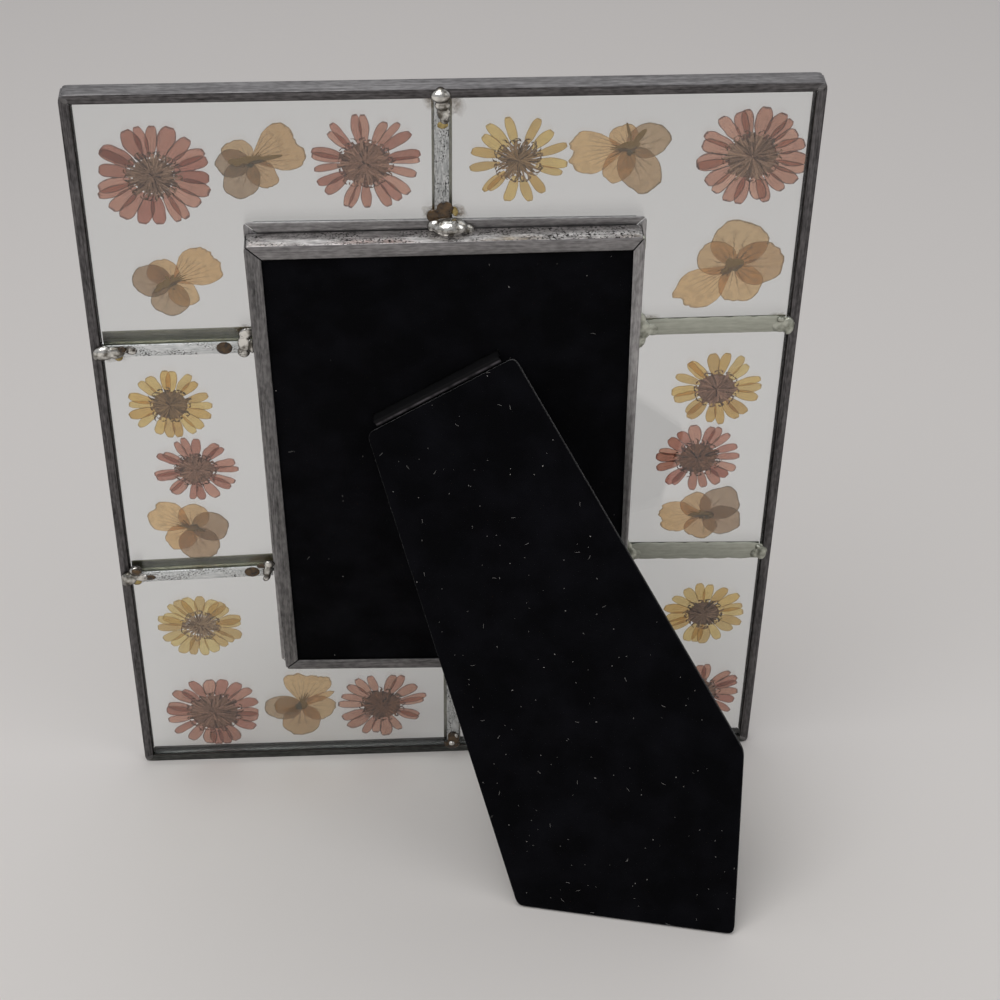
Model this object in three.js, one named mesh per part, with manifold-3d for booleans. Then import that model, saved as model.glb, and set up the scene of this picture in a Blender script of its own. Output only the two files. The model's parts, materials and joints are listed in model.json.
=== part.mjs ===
// A leaded-glass picture frame with pressed flowers between its panes, leaning on a folding velvet leg.
// Millimetres, +Z up, standing on Z = 0 with the leg's side towards -Y.
//
// The frame is set out lying flat: x runs across it, y up it and z out of its back. z = 0 is the back
// of the cames, the metal channels that hold the glass. A group then stands it up and leans it back.

import * as THREE from 'three';
import { mergeVertices } from 'three/addons/utils/BufferGeometryUtils.js';
import Module from 'manifold-3d';

const wasm = await Module();
wasm.setup();

// ---- Driving dimensions ----

const FRAME_WIDTH = 194;
const FRAME_HEIGHT = 242;
const GAP = 0.3; // between pieces that touch

const SHEET = 1.5; // one glass sheet
const PRESSED = 0.2; // a pressed flower
const FLANGE = 0.5; // thickness of a came's flanges
const WEB = 0.8; // thickness of the wall between them
const CAME_DEPTH = 2 * FLANGE + 2 * SHEET + 4 * GAP + PRESSED;

const OUTER_FLANGE = 2.8; // width of the outer came's flanges
const INNER_FLANGE = 4.6; // of the inner came's, on the back
const INNER_FRONT_FLANGE = 2.5;
const OUTER_CORNER = 2.2; // radius of the soldered corners
const INNER_CORNER = 1.5;

const BAR_HEART = 1;
const BAR_BACK = 3.8; // width of a bar's flange on the back of the glass

// The photo holder is a box of channel soldered to the back, a little out of square.
const HOLDER_DEPTH = 6.1;
const HOLDER_FRONT_LIP = 3;
const HOLDER_SHEET = 0.5;
const PHOTO_GLASS = 2;
const BOARD = 2.2;

// The leg folds about a line that crosses the board askew, so that it can prop the frame upright or on
// its side. Folded, its foot is a square corner that lies in the frame's lower corner.
const HINGE_TURN = THREE.MathUtils.degToRad(31.84);
const HINGE_MIDDLE = new THREE.Vector2(-2.2, 150.9);
const HINGE_HEIGHT = 8; // of the leg's middle plane above the back of the cames
const LEG_OPEN = THREE.MathUtils.degToRad(29.4);
const LEG_THICKNESS = 2.5;
const LEG_TOP = 47.6; // width at the hinge
const LEG_CORNER = 2;
const LEG_KNEE = new THREE.Vector2(88.6, 57.7); // where the folded leg's long side meets its short one
const FOOT_LEFT = 26.9; // the folded foot's lower edge runs from here
const FOOT_RIGHT = 89.9; // to here
const SLOT_LENGTH = 41;
const SLOT_ABOVE_LEG = 1.8;
const HINGE_PLATE = 0.6;

// With this lean the foot's lower edge, level when folded, is level again when the leg is open.
const LEAN = Math.atan(Math.cos(HINGE_TURN) * Math.tan(LEG_OPEN / 2));

// ---- Lines and outlines in the flat frame ----

const point = (x, y) => new THREE.Vector2(x, y);
const line = (from, to) => ({ from, to });

// The same line moved towards the left of its direction.
function shift({ from, to }, distance) {
  const along = to.clone().sub(from).normalize();
  const move = point(-along.y, along.x).multiplyScalar(distance);
  return line(from.clone().add(move), to.clone().add(move));
}

function cross(first, second) {
  const a = first.to.clone().sub(first.from);
  const b = second.to.clone().sub(second.from);
  const apart = second.from.clone().sub(first.from);
  return first.from.clone().addScaledVector(a, apart.cross(b) / a.cross(b));
}

// The closed outline whose sides are these lines, in order.
const outline = (lines) => lines.map((side, i) => cross(side, lines[(i + 1) % lines.length]));

// Four sides in the order top, right, bottom, left.
const SIDES = ['top', 'right', 'bottom', 'left'];
const sidesOf = (corners) => corners.map((corner, i) => line(corner, corners[(i + 1) % 4]));
const inset = (sides, distance) => sides.map((side) => shift(side, -distance));

function roundedShape(corners, radius) {
  const shape = new THREE.Shape();
  corners.forEach((corner, i) => {
    const before = corners.at(i - 1);
    const after = corners[(i + 1) % corners.length];
    const start = corner.clone().add(before.clone().sub(corner).setLength(radius));
    const end = corner.clone().add(after.clone().sub(corner).setLength(radius));
    if (i === 0) shape.moveTo(start.x, start.y);
    else shape.lineTo(start.x, start.y);
    shape.quadraticCurveTo(corner.x, corner.y, end.x, end.y);
  });
  return shape;
}

// ---- Solids ----

function solidFrom(geometry) {
  const bare = geometry.clone();
  bare.deleteAttribute('normal');
  bare.deleteAttribute('uv');
  const welded = mergeVertices(bare, 1e-4);
  const vertProperties = new Float32Array(welded.attributes.position.array);
  const triVerts = new Uint32Array(welded.index.array);
  return new wasm.Manifold(new wasm.Mesh({ numProp: 3, vertProperties, triVerts }));
}

function geometryFrom(solid) {
  const mesh = solid.getMesh();
  const geometry = new THREE.BufferGeometry();
  geometry.setAttribute('position', new THREE.BufferAttribute(mesh.vertProperties, 3));
  geometry.setIndex(new THREE.BufferAttribute(mesh.triVerts, 1));
  geometry.computeVertexNormals();
  return geometry;
}

function plate(shape, bottom, top, curveSegments = 4) {
  const drawn = shape instanceof THREE.Shape ? shape : new THREE.Shape(shape);
  const settings = { depth: top - bottom, bevelEnabled: false, curveSegments };
  return new THREE.ExtrudeGeometry(drawn, settings).translate(0, 0, bottom);
}

const join = (plates) => plates.map(solidFrom).reduce((whole, part) => whole.add(part));

// One mitred length of a strip that lies between the outer and inner sides of a rectangle.
function mitredStrip(outer, inner, i, mitreOuter, mitreInner) {
  const before = (i + 3) % 4;
  const after = (i + 1) % 4;
  const mitre = (a, b) => line(cross(mitreOuter[a], mitreOuter[b]), cross(mitreInner[a], mitreInner[b]));
  return outline([
    shift(mitre(before, i), GAP / 2),
    outer[i],
    shift(mitre(i, after), -GAP / 2),
    inner[i],
  ]);
}

// ---- Materials ----

const finish = (color, roughness, metalness = 0, opacity = 1) =>
  new THREE.MeshStandardMaterial({ color, roughness, metalness, opacity, transparent: opacity < 1 });

const CAME = finish(0x55565a, 0.5, 0.9);
const TINNED = finish(0xa9acae, 0.4, 0.9);
const GLASS = finish(0xdfe8e4, 0.05, 0, 0.3);
const VELVET = finish(0x0b0b0d, 1);
const HINGE = finish(0x1c1c1e, 0.5, 0.8);
const PETAL = { pink: 0xa9746b, yellow: 0xcfae68, viola: 0xb79368 };

const frame = new THREE.Group();

function add(name, geometry, material, parent = frame) {
  const mesh = new THREE.Mesh(geometry, material);
  mesh.name = name;
  parent.add(mesh);
}

// ---- Cames ----

const outerEdge = sidesOf([
  point(-FRAME_WIDTH / 2, FRAME_HEIGHT),
  point(FRAME_WIDTH / 2, FRAME_HEIGHT),
  point(FRAME_WIDTH / 2, 0),
  point(-FRAME_WIDTH / 2, 0),
]);
const outerInside = inset(outerEdge, OUTER_FLANGE);

// The came round the picture opening faces outwards, so its web is on the inside.
const innerEdge = sidesOf([point(-53.3, 203.3), point(53, 202.7), point(54, 41.8), point(-51.3, 43)]);
const innerInside = inset(innerEdge, INNER_FLANGE);
const innerFront = inset(innerEdge, INNER_FLANGE - INNER_FRONT_FLANGE);

function addOuterCame() {
  const block = solidFrom(plate(roundedShape(outline(outerEdge), OUTER_CORNER), -CAME_DEPTH, 0));
  const web = inset(outerEdge, WEB);
  SIDES.forEach((side, i) => {
    const flange = mitredStrip(outerEdge, outerInside, i, outerEdge, outerInside);
    const wall = mitredStrip(outerEdge, web, i, outerEdge, outerInside);
    const channel = join([
      plate(flange, -FLANGE, 0),
      plate(wall, -CAME_DEPTH, 0),
      plate(flange, -CAME_DEPTH, FLANGE - CAME_DEPTH),
    ]);
    add(`outer_came_${side}`, geometryFrom(channel.intersect(block)), CAME);
  });
}

function addInnerCame() {
  const block = solidFrom(plate(roundedShape(outline(innerEdge), INNER_CORNER), -CAME_DEPTH, 0));
  const web = inset(innerEdge, INNER_FLANGE - WEB);
  SIDES.forEach((side, i) => {
    const strip = (outer) => mitredStrip(outer, innerInside, i, innerEdge, innerInside);
    const channel = join([
      plate(strip(innerEdge), -FLANGE, 0),
      plate(strip(web), -CAME_DEPTH, 0),
      plate(strip(innerFront), -CAME_DEPTH, FLANGE - CAME_DEPTH),
    ]);
    add(`inner_came_${side}`, geometryFrom(channel.intersect(block)), CAME);
  });
}

// ---- Bars ----

// Each bar is an H in section: a heart between the glass edges, a flange on the back and another
// on the front, which sits off the heart's line by frontShift.
const [TOP, RIGHT, BOTTOM, LEFT] = [0, 1, 2, 3];
const BARS = {
  top: { on: line(point(-1.2, 205), point(-1.2, 240)), side: TOP, front: 5.3, frontShift: -0.2 },
  bottom: { on: line(point(1.4, 2), point(1.4, 42)), side: BOTTOM, front: 5.3, frontShift: 0.1 },
  left_upper: { on: line(point(-95, 162.6), point(-53, 163.1)), side: LEFT, front: 5.6, frontShift: 1.2 },
  left_lower: { on: line(point(-95, 79.3), point(-53, 80.6)), side: LEFT, front: 5.6, frontShift: 0.6 },
  right_upper: { on: line(point(53, 165.9), point(95, 166.1)), side: RIGHT, front: 3.8, frontShift: -0.9 },
  right_lower: { on: line(point(53, 83.4), point(95, 82.2)), side: RIGHT, front: 3.4, frontShift: -0.5 },
};

function addBars() {
  for (const [name, { on, side, front, frontShift }] of Object.entries(BARS)) {
    const start = shift(outerInside[side], -GAP);
    const strip = (width, middle, end) =>
      outline([shift(on, middle + width / 2), start, shift(on, middle - width / 2), shift(end[side], GAP)]);
    const bar = join([
      plate(strip(BAR_BACK, 0, innerEdge), -FLANGE, 0),
      plate(strip(BAR_HEART, 0, innerEdge), -CAME_DEPTH, 0),
      plate(strip(front, frontShift, innerFront), -CAME_DEPTH, FLANGE - CAME_DEPTH),
    ]);
    add(`bar_${name}`, geometryFrom(bar), TINNED);
  }
}

// ---- Glass ----

// Six windows round the opening, each closed by a back and a front sheet.
function addPanes() {
  const [top, right, bottom, left] = inset(outerEdge, WEB + GAP);
  const [innerTop, innerRight, innerBottom, innerLeft] = inset(innerEdge, INNER_FLANGE - WEB - GAP);
  const clear = BAR_HEART / 2 + GAP;
  const above = (bar) => shift(BARS[bar].on, clear); // for an upright bar, its left
  const below = (bar) => shift(BARS[bar].on, -clear); // and its right

  const windows = {
    top_left: [above('left_upper'), left, top, above('top'), innerTop, innerLeft],
    top_right: [below('top'), top, right, above('right_upper'), innerRight, innerTop],
    middle_left: [above('left_lower'), left, below('left_upper'), innerLeft],
    middle_right: [above('right_lower'), right, below('right_upper'), innerRight],
    bottom_left: [below('left_lower'), left, bottom, above('bottom'), innerBottom, innerLeft],
    bottom_right: [below('bottom'), bottom, right, below('right_lower'), innerRight, innerBottom],
  };
  const back = -FLANGE - GAP;
  const front = GAP + FLANGE - CAME_DEPTH;
  for (const [name, sides] of Object.entries(windows)) {
    add(`back_glass_${name}`, plate(outline(sides), back - SHEET, back), GLASS);
    add(`front_glass_${name}`, plate(outline(sides), front, front + SHEET), GLASS);
  }
}

// ---- Photo holder, its glass and the velvet board ----

const holderEdge = sidesOf([point(-53.2, 200.1), point(52, 200.5), point(53, 42.8), point(-49.8, 45.7)]);
const holderInside = sidesOf([point(-48.8, 195.7), point(49.1, 196.4), point(51.6, 46.8), point(-46, 49.2)]);

function addHolder() {
  const bottom = GAP;
  const top = GAP + HOLDER_DEPTH;
  const block = solidFrom(plate(roundedShape(outline(holderEdge), INNER_CORNER), bottom, top));
  const web = inset(holderEdge, WEB);
  const frontLip = inset(holderEdge, HOLDER_FRONT_LIP);
  SIDES.forEach((side, i) => {
    const strip = (inner) => mitredStrip(holderEdge, inner, i, holderEdge, holderInside);
    const channel = join([
      plate(strip(frontLip), bottom, bottom + HOLDER_SHEET),
      plate(strip(web), bottom, top),
      plate(strip(holderInside), top - HOLDER_SHEET, top),
    ]);
    add(`holder_${side}`, geometryFrom(channel.intersect(block)), CAME);
  });
}

const boardTop = GAP + HOLDER_DEPTH - HOLDER_SHEET - GAP;

// A point given along the hinge line and up from it, in the flat frame.
const byHinge = (x, y) => point(x, y).rotateAround(point(0, 0), HINGE_TURN).add(HINGE_MIDDLE);
const hingeStrip = (length, y0, y1) =>
  [[-1, y0], [1, y0], [1, y1], [-1, y1]].map(([end, y]) => byHinge((end * length) / 2, y));

function addBoard() {
  const inside = outline(inset(holderEdge, WEB + GAP));
  const glassBottom = GAP + HOLDER_SHEET + GAP;
  add('photo_glass', plate(inside, glassBottom, glassBottom + PHOTO_GLASS), GLASS);

  const board = new THREE.Shape(inside);
  const slotTop = SLOT_ABOVE_LEG + HINGE_PLATE + 2 * GAP;
  board.holes.push(new THREE.Path(hingeStrip(SLOT_LENGTH, SLOT_ABOVE_LEG, slotTop)));
  add('backing_board', plate(board, boardTop - BOARD, boardTop), VELVET);
}

// A folded steel strip comes up through the slot and bends down over the leg's top edge.
function addHinge() {
  const length = SLOT_LENGTH - 2 * GAP;
  const back = SLOT_ABOVE_LEG + GAP + HINGE_PLATE;
  const foldTop = HINGE_HEIGHT + HINGE_PLATE / 2;
  const hinge = join([
    plate(hingeStrip(length, SLOT_ABOVE_LEG + GAP, back), boardTop - BOARD, foldTop),
    plate(hingeStrip(length, 2 * GAP, back), foldTop - HINGE_PLATE, foldTop),
  ]);
  add('leg_hinge', geometryFrom(hinge), HINGE);
}

// ---- Leg ----

const leg = new THREE.Group();
const swing = new THREE.Group();
leg.position.set(HINGE_MIDDLE.x, HINGE_MIDDLE.y, HINGE_HEIGHT);
leg.rotation.z = HINGE_TURN;
swing.rotation.x = -LEG_OPEN;
leg.add(swing);

const stand = new THREE.Group();
stand.rotation.x = Math.PI / 2 + LEAN;
stand.add(frame, leg);
stand.updateMatrixWorld(true);

// From a place in the flat frame to the same place on the folded leg, along and up from the hinge.
const onLeg = (x, y) => point(x, y).sub(HINGE_MIDDLE).rotateAround(point(0, 0), -HINGE_TURN);

// How high the leg's lower face stands over the ground at a place named as on the folded leg.
function heightWhenOpen(x, y) {
  const { x: along, y: up } = onLeg(x, y);
  return new THREE.Vector3(along, up, -LEG_THICKNESS / 2).applyMatrix4(swing.matrixWorld).z;
}

function addLeg() {
  const perMillimetre = heightWhenOpen(FOOT_RIGHT, 1) - heightWhenOpen(FOOT_RIGHT, 0);
  const footY = -heightWhenOpen(FOOT_RIGHT, 0) / perMillimetre;
  const corners = [
    point(-LEG_TOP / 2, 0),
    point(LEG_TOP / 2, 0),
    onLeg(LEG_KNEE.x, LEG_KNEE.y),
    onLeg(FOOT_RIGHT, footY),
    onLeg(FOOT_LEFT, footY),
  ];
  const board = plate(roundedShape(corners, LEG_CORNER), -LEG_THICKNESS / 2, LEG_THICKNESS / 2);
  add('easel_leg', board, VELVET, swing);
}

// ---- Pressed flowers ----

const flowerFront = GAP * 2 + FLANGE + SHEET - CAME_DEPTH;

// One petal's edge: [place in its share of the circle, share of the flower's reach].
const DAISY_PETAL = [[-0.5, 0.72], [-0.3, 0.96], [0, 1], [0.3, 0.96]];

// A daisy head pressed flat: strap petals with a notch between each two.
function daisyShape({ at, reach, petals }) {
  const shape = [];
  for (let i = 0; i < petals; i++) {
    for (const [side, share] of DAISY_PETAL) {
      const angle = (2 * Math.PI * (i + side)) / petals;
      shape.push(point(reach * share, 0).rotateAround(point(0, 0), angle).add(point(...at)));
    }
  }
  return shape;
}

// A viola's petals are egg-shaped, each [direction in degrees, reach, width] from the flower's heart.
function petalShape(at, [direction, reach, width], steps = 12) {
  const turn = THREE.MathUtils.degToRad(direction);
  const shape = [];
  for (let i = 0; i < steps; i++) {
    const t = (i / steps) * 2 * Math.PI;
    const out = (reach / 2) * (0.96 - Math.cos(t));
    const across = (width / 2) * Math.sin(t) * (1 - 0.25 * Math.cos(t));
    shape.push(point(out, across).rotateAround(point(0, 0), turn).add(point(...at)));
  }
  return shape;
}

const DAISIES = {
  daisy_pink_top_left_corner: { at: [-75.7, 216.8], reach: 15.3, petals: 21, colour: 'pink' },
  daisy_pink_top_left_inner: { at: [-20.9, 219.4], reach: 14.4, petals: 20, colour: 'pink' },
  daisy_yellow_top_right_inner: { at: [18.6, 219.5], reach: 13.1, petals: 15, colour: 'yellow' },
  daisy_pink_top_right_corner: { at: [79.8, 219.2], reach: 14.7, petals: 22, colour: 'pink' },
  daisy_yellow_left_middle: { at: [-77.4, 142.2], reach: 12, petals: 18, colour: 'yellow' },
  daisy_pink_left_middle: { at: [-72, 118.6], reach: 12.1, petals: 18, colour: 'pink' },
  daisy_yellow_right_middle: { at: [76.2, 143.2], reach: 12.8, petals: 18, colour: 'yellow' },
  daisy_pink_right_middle: { at: [72.6, 118], reach: 12.5, petals: 18, colour: 'pink' },
  daisy_yellow_left_lower: { at: [-75.3, 57.1], reach: 12.8, petals: 20, colour: 'yellow' },
  daisy_pink_bottom_left_corner: { at: [-73.8, 19.4], reach: 15.2, petals: 20, colour: 'pink' },
  daisy_pink_bottom_left_inner: { at: [-20.9, 20.4], reach: 14.3, petals: 18, colour: 'pink' },
  daisy_yellow_right_lower: { at: [78.9, 56], reach: 12.6, petals: 18, colour: 'yellow' },
  daisy_pink_bottom_right_corner: { at: [79.8, 21.2], reach: 13.4, petals: 20, colour: 'pink' },
  daisy_pink_bottom_right_inner: { at: [23, 20.2], reach: 13.4, petals: 18, colour: 'pink' },
};

const VIOLAS = {
  viola_top_left: {
    at: [-50.5, 220.5],
    petals: [[25, 14.8, 14.5], [135, 8, 8], [185, 9, 8.5], [245, 11.5, 10], [310, 9.5, 7.5]],
  },
  viola_left_upper: {
    at: [-73.5, 183.5],
    petals: [[32, 15, 12.5], [120, 8, 9], [172, 10.5, 10.5], [262, 10.8, 10.5], [310, 9, 8]],
  },
  viola_top_right: {
    at: [47, 222.5],
    petals: [[188, 15.6, 13], [105, 7, 8], [22, 11.5, 10.5], [298, 14.6, 11], [248, 10.5, 8]],
  },
  viola_right_upper: {
    at: [77.7, 185],
    petals: [[82, 14.4, 15.5], [5, 13.7, 14], [152, 11, 11], [219, 18.6, 12.5], [292, 12.2, 12.5]],
  },
  viola_left_middle: {
    at: [-74.8, 96.5],
    petals: [[148, 14, 12], [225, 10, 9], [285, 12.6, 12], [8, 10.8, 11], [80, 9.6, 9]],
  },
  viola_right_middle: {
    at: [76, 96.4],
    petals: [[185, 14, 12], [125, 9, 9], [42, 12.4, 12.5], [338, 12, 11], [262, 9, 10]],
  },
  viola_bottom_left: {
    at: [-46.2, 21.5],
    petals: [[78, 14.2, 15], [28, 11.5, 3], [345, 11, 10.5], [268, 13.4, 12], [188, 11.8, 10.6]],
  },
  viola_bottom_right: {
    at: [49, 21],
    petals: [[102, 14, 13], [45, 10, 9], [5, 9.5, 9], [272, 12, 11.5], [185, 10.5, 10]],
  },
};

function addFlowers() {
  for (const [name, daisy] of Object.entries(DAISIES)) {
    const head = plate(daisyShape(daisy), flowerFront, flowerFront + PRESSED);
    add(name, head, finish(PETAL[daisy.colour], 0.9));
  }
  for (const [name, { at, petals }] of Object.entries(VIOLAS)) {
    const plates = petals.map((petal) => plate(petalShape(at, petal), flowerFront, flowerFront + PRESSED));
    add(name, geometryFrom(join(plates)), finish(PETAL.viola, 0.9));
  }
}

addOuterCame();
addInnerCame();
addBars();
addPanes();
addHolder();
addBoard();
addHinge();
addLeg();
addFlowers();

// The origin is on the ground, in the middle of the space that the frame and its open leg take up.
const model = new THREE.Group();
model.add(stand);
model.updateMatrixWorld(true);
const space = new THREE.Box3().setFromObject(model, true);
const middle = space.getCenter(new THREE.Vector3());
stand.position.set(-middle.x, -middle.y, 0);

export default model;
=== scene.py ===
"""The looks of a leaded-glass frame with pressed flowers, standing on its velvet leg, seen from behind."""

import json
import math
import random

import bpy
from mathutils import Euler, Matrix, Vector, noise


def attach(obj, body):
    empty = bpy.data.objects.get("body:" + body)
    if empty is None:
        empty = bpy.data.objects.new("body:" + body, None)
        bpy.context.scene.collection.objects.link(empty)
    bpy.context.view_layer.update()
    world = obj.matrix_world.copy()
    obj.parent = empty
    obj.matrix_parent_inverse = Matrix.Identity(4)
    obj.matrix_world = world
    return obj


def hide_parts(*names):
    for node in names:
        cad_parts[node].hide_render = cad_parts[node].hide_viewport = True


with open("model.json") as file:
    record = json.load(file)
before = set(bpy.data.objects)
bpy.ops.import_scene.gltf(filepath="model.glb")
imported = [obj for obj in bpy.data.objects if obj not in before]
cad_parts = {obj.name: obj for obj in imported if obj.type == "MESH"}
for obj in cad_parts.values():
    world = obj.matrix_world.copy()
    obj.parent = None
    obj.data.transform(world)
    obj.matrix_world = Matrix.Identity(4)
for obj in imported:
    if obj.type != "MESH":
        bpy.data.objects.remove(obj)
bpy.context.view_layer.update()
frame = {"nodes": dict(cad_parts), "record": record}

MM = 0.001
SIDES = ("top", "right", "bottom", "left")
WINDOWS = ("top_left", "top_right", "middle_left", "middle_right", "bottom_left", "bottom_right")

# ---- The bench ----

# Pieces are made on the bench, in millimetres, with the frame lying on its face: x across it, y up it
# and z out of its back, with z = 0 on the back of the cames. STAND leans it on its leg, in metres.
ACROSS = Vector((1, 0, 0))
UP = -Vector(frame["record"]["mounts"][0]["axis"]).normalized()
BACK = ACROSS.cross(UP)
rim = [point.co for side in SIDES for point in frame["nodes"][f"outer_came_{side}"].data.vertices]
ORIGIN = UP * min(co.dot(UP) for co in rim) + BACK * max(co.dot(BACK) for co in rim)
TURN = Matrix((ACROSS, UP, BACK)).transposed()
STAND = Matrix.Translation(ORIGIN) @ TURN.to_4x4() @ Matrix.Scale(MM, 4)


def on_bench(node):
    """The lowest and highest corners of a CAD node on the bench."""
    to_bench = STAND.inverted()
    points = [to_bench @ point.co for point in frame["nodes"][node].data.vertices]
    low = Vector([min(p[i] for p in points) for i in range(3)])
    high = Vector([max(p[i] for p in points) for i in range(3)])
    return low, high


# ---- Modelling ----


def deselect():
    bpy.ops.object.select_all(action="DESELECT")


def select(*pieces):
    deselect()
    for piece in pieces:
        piece.select_set(True)
    bpy.context.view_layer.objects.active = pieces[0]


def pick(piece, kind, chosen):
    """Goes into edit mode with the vertices, edges or faces picked that chosen says yes to."""
    select(piece)
    bpy.ops.object.mode_set(mode="EDIT")
    bpy.ops.mesh.select_mode(type={"vertices": "VERT", "edges": "EDGE", "polygons": "FACE"}[kind])
    bpy.ops.mesh.select_all(action="DESELECT")
    bpy.ops.object.mode_set(mode="OBJECT")
    for part in getattr(piece.data, kind):
        part.select = chosen(part)
    bpy.ops.object.mode_set(mode="EDIT")


def done():
    bpy.ops.object.mode_set(mode="OBJECT")


def upright(points):
    """Says yes to the edges that run up a pattern a unit long, whose points these are."""
    return lambda edge: abs(points[edge.vertices[0]].co.z - points[edge.vertices[1]].co.z) > 0.5


def named(name):
    """The piece just added, under its own name."""
    piece = bpy.context.object
    piece.name = name
    piece.data.name = name
    return piece


def settle(piece):
    """Puts a piece's place, turn and scale into its mesh."""
    select(piece)
    bpy.ops.object.transform_apply(location=True, rotation=True, scale=True)


def modify(piece, kind, **settings):
    """Gives the piece a modifier and applies it."""
    select(piece)
    modifier = piece.modifiers.new(kind.title(), kind)
    for name, value in settings.items():
        setattr(modifier, name, value)
    bpy.ops.object.modifier_apply(modifier=modifier.name)


def join(name, pieces):
    select(*pieces)
    bpy.ops.object.join()
    return named(name)


def copy_of(pattern, shape, **marks):
    """A copy of a pattern, each point moved by shape, with marks such as its tone written on the mesh."""
    mesh = pattern.data.copy()
    for name, mark in marks.items():
        attribute = mesh.attributes.new(name, "FLOAT", "POINT")
        values = [mark(point.co) if callable(mark) else mark for point in mesh.vertices]
        attribute.data.foreach_set("value", values)
    for point in mesh.vertices:
        point.co = shape(point.co)
    piece = bpy.data.objects.new(pattern.name, mesh)
    bpy.context.collection.objects.link(piece)
    return piece


def finish_piece(piece, material=None, body="frame", smooth=40):
    """Stands a piece made on the bench up in its place and gives it its finish."""
    select(piece)
    piece.data.transform(STAND)
    bpy.ops.object.shade_smooth_by_angle(angle=math.radians(smooth))
    if material:
        piece.data.materials.clear()
        piece.data.materials.append(material)
    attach(piece, body)
    return piece


def eased_copy(node, edge, segments=2):
    """A copy of a CAD node on the bench, its loose triangles merged and its sharp edges eased."""
    deselect()
    piece = bpy.data.objects.new(f"{node}_finished", frame["nodes"][node].data.copy())
    bpy.context.collection.objects.link(piece)
    piece.data.transform(STAND.inverted())
    piece.data.materials.clear()
    pick(piece, "vertices", lambda point: True)
    bpy.ops.mesh.remove_doubles(threshold=0.001)
    bpy.ops.mesh.dissolve_limited(angle_limit=math.radians(1))
    done()
    modify(piece, "BEVEL", width=edge, segments=segments, limit_method="ANGLE", angle_limit=math.radians(40))
    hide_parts(node)
    return piece


def melt(name, drops, voxel=0.25, smooth=6):
    """Soft drops run into one lump.

    A drop is (x, y, z, half length, half width, half height, turn in degrees).
    """
    deselect()
    balls = []
    for x, y, z, length, width, height, turn in drops:
        bpy.ops.mesh.primitive_uv_sphere_add(
            segments=24,
            ring_count=12,
            location=(x, y, z),
            rotation=(0, 0, math.radians(turn)),
            scale=(length, width, height),
        )
        balls.append(bpy.context.object)
    lump = join(name, balls)
    settle(lump)
    modify(lump, "REMESH", mode="VOXEL", voxel_size=voxel)
    modify(lump, "SMOOTH", factor=0.5, iterations=smooth)
    return lump


# ---- Materials ----

COLOURS = {"data_type": "RGBA"}
TINTED = {"data_type": "RGBA", "blend_type": "MULTIPLY"}
PRODUCT = {"operation": "MULTIPLY"}
PRODUCT_PLUS = {"operation": "MULTIPLY_ADD"}
LARGER = {"operation": "MAXIMUM"}


def linear(colour):
    """An sRGB hex colour as linear numbers."""
    parts = [int(colour[i : i + 2], 16) / 255 for i in (0, 2, 4)]
    return [p / 12.92 if p <= 0.04045 else ((p + 0.055) / 1.055) ** 2.4 for p in parts] + [1]


def add(tree, kind, settings=None, inputs=None):
    """Adds a node with its settings. An input is a value, a socket, or a node for its first output."""
    node = tree.nodes.new(kind)
    for name, value in (settings or {}).items():
        setattr(node, name, value)
    for name, value in (inputs or {}).items():
        if isinstance(value, bpy.types.Node):
            value = value.outputs[0]
        if isinstance(value, bpy.types.NodeSocket):
            tree.links.new(value, node.inputs[name])
        else:
            node.inputs[name].default_value = value
    return node


def new_material(name):
    material = bpy.data.materials.new(name)
    material.use_nodes = True
    material.node_tree.nodes.clear()
    return material, material.node_tree


def bench_coordinates(tree, stretch=(1, 1, 1)):
    """Object coordinates turned back onto the bench, in millimetres, divided by stretch."""
    place = add(tree, "ShaderNodeTexCoord")
    bench = add(
        tree,
        "ShaderNodeMapping",
        {"vector_type": "TEXTURE"},
        {
            "Vector": place.outputs["Object"],
            "Location": ORIGIN,
            "Rotation": TURN.to_euler(),
            "Scale": (MM, MM, MM),
        },
    )
    return add(tree, "ShaderNodeVectorMath", {"operation": "DIVIDE"}, {0: bench, 1: stretch})


def speckle(tree, stretch, low, high, detail=3, seed=0):
    """Noise in blotches of the size of stretch, in millimetres, as 0 to 1 between low and high."""
    pattern = add(
        tree,
        "ShaderNodeTexNoise",
        {"noise_dimensions": "4D"},
        {"Vector": bench_coordinates(tree, stretch), "W": seed, "Scale": 1, "Detail": detail},
    )
    return add(tree, "ShaderNodeMapRange", None, {0: pattern.outputs["Fac"], 1: low, 2: high})


def turned_away(tree, low, high, top):
    """How far the surface turns away from the eye, as 0 to top between low and high."""
    away = add(tree, "ShaderNodeLayerWeight", None, {"Blend": 0.5})
    return add(tree, "ShaderNodeMapRange", None, {0: away.outputs["Facing"], 1: low, 2: high, 4: top})


def grained(along, long, short, deep):
    """The stretch of a pattern that is long along the bench's x or y."""
    return (long, short, deep) if along == "x" else (short, long, deep)


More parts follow.
